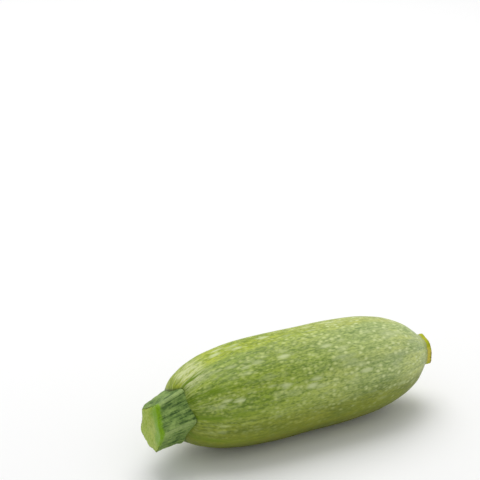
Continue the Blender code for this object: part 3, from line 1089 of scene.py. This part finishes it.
@dataclass
class Stalk(Piece):
    """The short stalk, cut from the plant."""

    form: FruitForm
    stalk: StalkForm
    around: int = 240
    cuts: int = 70
    rings: tuple[float, ...] = (
        0.985, 0.97, 0.95, 0.92, 0.88, 0.83, 0.77, 0.70, 0.62, 0.54, 0.45, 0.35, 0.24, 0.12
    )
    foot_sunk: float = 0.0003  # how far its foot goes into the skin
    fibre_height: float = 0.00016
    fibre_length: float = 0.012
    fibre_width: float = 0.10  # radians
    dent_depth: float = 0.00022
    dent_length: float = 0.0026
    dent_width: float = 0.22  # radians
    dent_rise: float = 0.2  # share of its depth that a dent's brim may stand out
    edge_round: float = 0.0004
    edge_ring: float = 0.10  # share of the radius
    edge_zone: float = 0.03  # share of the height
    ragged: float = 0.0007  # how far the cut's edge is chipped
    chip_width: float = 0.14  # radians
    chip_ring: float = 0.2  # share of the radius
    chip_zone: float = 0.07  # share of the height
    roughness: float = 0.00015  # of the cut end
    grit: float = 2.5  # lumps of it on one radius
    worn_corner: float = math.radians(28.5)  # the cut's most crumbled corner, from +Y to +Z
    worn_width: float = 0.5  # radians
    worn_depth: float = 0.0011
    worn_zone: float = 0.12  # share of the height
    bulging_side: float = math.radians(-79.5)  # of the cut, from +Y to +Z
    bulge_width: float = 0.40  # radians
    bulge_height: float = 0.0025
    bulge_zone: float = 0.50  # share of the height
    scallop_depth: float = 0.0022
    scallop_width: float = 0.26  # radians
    pith_share: float = 0.55
    pith_slope: float = 0.12  # share of the radius, to either side of the pith's edge
    pith_depth: float = 0.0004

    def build(self, shift: Array) -> bpy.types.Object:
        """Draws a cylinder into five fibrous ridges with a ragged cut, and seats it.

        Args:
            shift: the move from the form's frame to the frame of the model.

        Returns:
            The stalk.
        """
        piece = capped_cylinder(self.name, self.around, self.cuts, self.rings)
        angle, share, up = stem_places(piece)
        x = self.stalk.root_x + (self.stalk.cut_middle[0] - self.stalk.root_x) * up
        on_cut = (up > ON_EDGE) & (share <= ON_EDGE)

        fibres = round_lumps(x, angle, self.fibre_length, self.fibre_width, 1.0, 4)
        dents = round_lumps(x, angle, self.dent_length, self.dent_width, 2.0, 3)
        relief = self.fibre_height * fibres + self.dent_depth * np.minimum(dents, self.dent_rise)
        chips = edge_lumps(angle, self.chip_width, 5.0, 3)
        bulge = hump(angle, self.bulging_side, self.bulge_width)
        scallops = np.abs(edge_lumps(angle, self.scallop_width, 6.0, 1))
        chipped = self.ragged * np.maximum(chips, 0.0) + self.scallop_depth * scallops * bulge
        chipped = chipped * near_end(up, self.chip_zone) * near_end(share, self.chip_ring)
        relief = relief - chipped + self.bulge_height * bulge * near_end(up, self.bulge_zone)
        worn = self.worn_depth * hump(angle, self.worn_corner, self.worn_width)
        worn = worn * near_end(up, self.worn_zone)
        out = share * (self.stalk.radius(x, angle, self.form) + relief - worn)
        back = share * self.form.set_back(angle) * fade(self.stalk.way_up(x))
        strays = self.stalk.strays(angle, self.form)
        toward_cut = ease(self.stalk.way_up(x))
        mean_back = float(np.mean(self.stalk.cut_corners, axis=0)[0])
        back = back + (mean_back + share**1.5 * (strays[:, 0] - mean_back)) * toward_cut
        edge = near_end(share, self.edge_ring) * near_end(up, self.edge_zone)
        back = back + edge * (self.edge_round + self.ragged * np.maximum(0.0, -chips))
        in_pith = (share - self.pith_share + self.pith_slope) / (2.0 * self.pith_slope)
        flat = share * self.grit * np.vstack((np.cos(angle), np.sin(angle), np.zeros_like(x)))
        rough = self.roughness * lumps(flat.T, 7.0, 4)
        back = back + np.where(on_cut, self.pith_depth * fade(in_pith) + rough, 0.0)
        middle = self.stalk.middle(x)
        aside = angle + strays[:, 2] * toward_cut
        places = np.column_stack(
            (x + back, middle[:, 1] + out * np.cos(aside), middle[:, 2] + out * np.sin(aside))
        )
        move_to(piece, places + self.form.axis_shift(np.zeros(1)) + shift)
        turn = angle - self.form.corner_angle
        write_stem(piece, angle, share, up)
        write_track(piece, Track.RIB, np.cos(self.form.corners * turn))
        seat_on_fruit(piece, self.form, shift, self.foot_sunk)
        self.settle(piece, Anchor.LOW)
        return piece


@dataclass
class FlowerScar(Piece):
    """The dry corky disc where the flower dropped off."""

    form: FruitForm
    radius: float = 0.0077
    stand: float = 0.0024
    sunk: float = 0.0020
    waves: tuple[tuple[int, float, float], ...] = ((5, 0.00022, 0.4), (8, 0.00012, 1.9))
    around: int = 180
    cuts: int = 14
    rings: tuple[float, ...] = (
        0.975, 0.94, 0.89, 0.83, 0.76, 0.68, 0.6, 0.52, 0.44, 0.35, 0.24, 0.12
    )
    foot_sunk: float = 0.0003  # how far its foot goes into the skin
    edge_round: float = 0.0010
    edge_ring: float = 0.20  # share of the radius
    dimple_share: float = 0.45
    dimple_slope: float = 0.1  # share of the radius, to either side of the dimple's edge
    dimple_depth: float = 0.0005
    layer_height: float = 0.00010
    layer_length: float = 0.12  # share of the height
    layer_width: float = 0.9  # radians
    ragged: float = 0.00035
    chip_length: float = 0.6  # share of the height
    chip_width: float = 0.13  # radians
    chip_rise: float = 0.15  # share of its depth that a chip's brim may stand out
    rim_zone: float = 0.25  # share of the height
    wrinkle_height: float = 0.00022
    wrinkle_length: float = 0.25  # share of the radius
    wrinkle_width: float = 0.30  # radians

    def build(self, shift: Array) -> bpy.types.Object:
        """Draws a cylinder into a wrinkled disc with a ragged dried rim, and seats it.

        Args:
            shift: the move from the form's frame to the frame of the model.

        Returns:
            The scar.
        """
        piece = capped_cylinder(self.name, self.around, self.cuts, self.rings)
        angle, share, up = stem_places(piece)
        wave = sum(height * np.cos(count * angle + phase) for count, height, phase in self.waves)
        depth = self.stand + self.sunk
        layers = round_lumps(up, angle, self.layer_length, self.layer_width, 1.0, 3)
        chips = round_lumps(up, angle, self.chip_length, self.chip_width, 2.0, 3)
        rim = near_end(up, self.rim_zone)
        relief = self.layer_height * layers
        relief = relief + self.ragged * rim * np.minimum(chips, self.chip_rise)
        out = share * (self.radius + wave + relief)
        wrinkles = round_lumps(share, angle, self.wrinkle_length, self.wrinkle_width, 4.0, 4)
        in_dimple = (share - self.dimple_share + self.dimple_slope) / (2.0 * self.dimple_slope)
        low = self.edge_round * np.maximum(0.0, (share - 1.0) / self.edge_ring + 1.0) ** 2
        low = low + self.dimple_depth * fade(in_dimple)
        low = low + self.wrinkle_height * np.maximum(0.0, wrinkles)
        low = low + self.ragged * np.maximum(chips, 0.0) * rim
        along = up * depth - self.sunk - np.where(up > ON_EDGE, low, 0.0)
        tip_x = self.form.outline[-1][0] * self.form.length
        slope = 2.0 * np.array(self.form.tip_bend) / (self.form.bend_reach * self.form.length)
        flat = np.column_stack((along, out * np.cos(angle), out * np.sin(angle)))
        turned = flat + np.outer(along, slope)
        turned[:, 0] -= flat[:, 1] * slope[1] + flat[:, 2] * slope[2]
        middle = np.array((tip_x, 0.0, 0.0)) + self.form.axis_shift(np.array([tip_x]))
        move_to(piece, turned + middle + shift)
        write_stem(piece, angle, share, up)
        seat_on_fruit(piece, self.form, shift, self.foot_sunk)
        self.settle(piece, Anchor.HIGH)
        return piece


# Studio


def aimed(place: Vector, aim: Vector) -> Euler:
    """The turn that points a lamp or a camera from one place at another."""
    return (aim - place).to_track_quat("-Z", "Y").to_euler()


@dataclass(frozen=True)
class Studio:
    """A plain pale floor, soft light and the camera."""

    floor_radius: float = 30.0
    floor_sides: int = 96
    floor_drop: float = 0.00005
    floor_colour: Colour = (0.93, 0.93, 0.93)
    sky_strength: float = 0.60
    lamp_side: float = 1.1
    lamp_place: tuple[float, float, float] = (0.15, 0.50, 1.20)
    lamp_aim: tuple[float, float, float] = (0.0, 0.0, 0.0)
    lamp_power: float = 10.5
    camera_place: tuple[float, float, float] = (-0.3104, -0.5658, 0.3750)
    camera_aim: tuple[float, float, float] = (0.0022, 0.0547, 0.0772)
    camera_reach: float = 1532.0  # pixels, the distance of the picture from the lens

    def build(self) -> None:
        """Sets up the studio."""
        self.floor()
        self.light()
        self.camera()

    def floor(self) -> None:
        """A wide pale disc just under the fruit."""
        put_down()
        bpy.ops.mesh.primitive_circle_add(
            vertices=self.floor_sides,
            radius=self.floor_radius,
            fill_type="NGON",
            location=(0.0, 0.0, -self.floor_drop),
        )
        floor = bpy.context.object
        floor.name = "studio_floor"
        sheet = Sheet("pale_floor")
        floor.data.materials.append(
            sheet.finish({"Base Color": (*self.floor_colour, 1.0), "Roughness": 0.9})
        )

    def light(self) -> None:
        """Soft white light all round and one wide lamp overhead."""
        scene = bpy.context.scene
        scene.world = bpy.data.worlds.new("studio_sky")
        scene.world.use_nodes = True
        sky = scene.world.node_tree.nodes["Background"]
        sky.inputs["Color"].default_value = (1.0, 1.0, 1.0, 1.0)
        sky.inputs["Strength"].default_value = self.sky_strength
        put_down()
        place = Vector(self.lamp_place)
        turn = aimed(place, Vector(self.lamp_aim))
        bpy.ops.object.light_add(type="AREA", location=place, rotation=turn)
        lamp = bpy.context.object
        lamp.name = "wide_lamp"
        lamp.data.size = self.lamp_side
        lamp.data.energy = self.lamp_power
        scene.view_settings.view_transform = "Standard"

    def camera(self) -> None:
        """The camera, as far off and as high as the photograph's."""
        put_down()
        place = Vector(self.camera_place)
        turn = aimed(place, Vector(self.camera_aim))
        bpy.ops.object.camera_add(location=place, rotation=turn)
        camera = bpy.context.object
        camera.name = "camera"
        camera.data.sensor_width = FILM_SIDE
        camera.data.lens = FILM_SIDE * self.camera_reach / PICTURE_SIDE
        bpy.context.scene.camera = camera


def main() -> None:
    """Builds the pieces from the fruit outwards, and the studio round them."""
    logging.basicConfig(level=logging.INFO, format="%(message)s")
    form = FruitForm()
    stalk_form = StalkForm()
    fruit = Fruit("fruit_skin", Node.FRUIT, Slot.SKIN, form, stalk_form)
    body, shift = fruit.build()
    low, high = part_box(Node.FRUIT.value)
    fruit.hand_over(body, SkinFinish(form.greatest_radius, high.z - low.z).material())
    stalk = Stalk("ridged_stalk", Node.STALK, Slot.RIND, form, stalk_form)
    stalk.hand_over(stalk.build(shift), StalkFinish().material())
    scar = FlowerScar("corky_scar", Node.SCAR, Slot.CORK, form)
    scar.hand_over(scar.build(shift), ScarFinish().material())
    Studio().build()


if __name__ == "__main__":
    main()
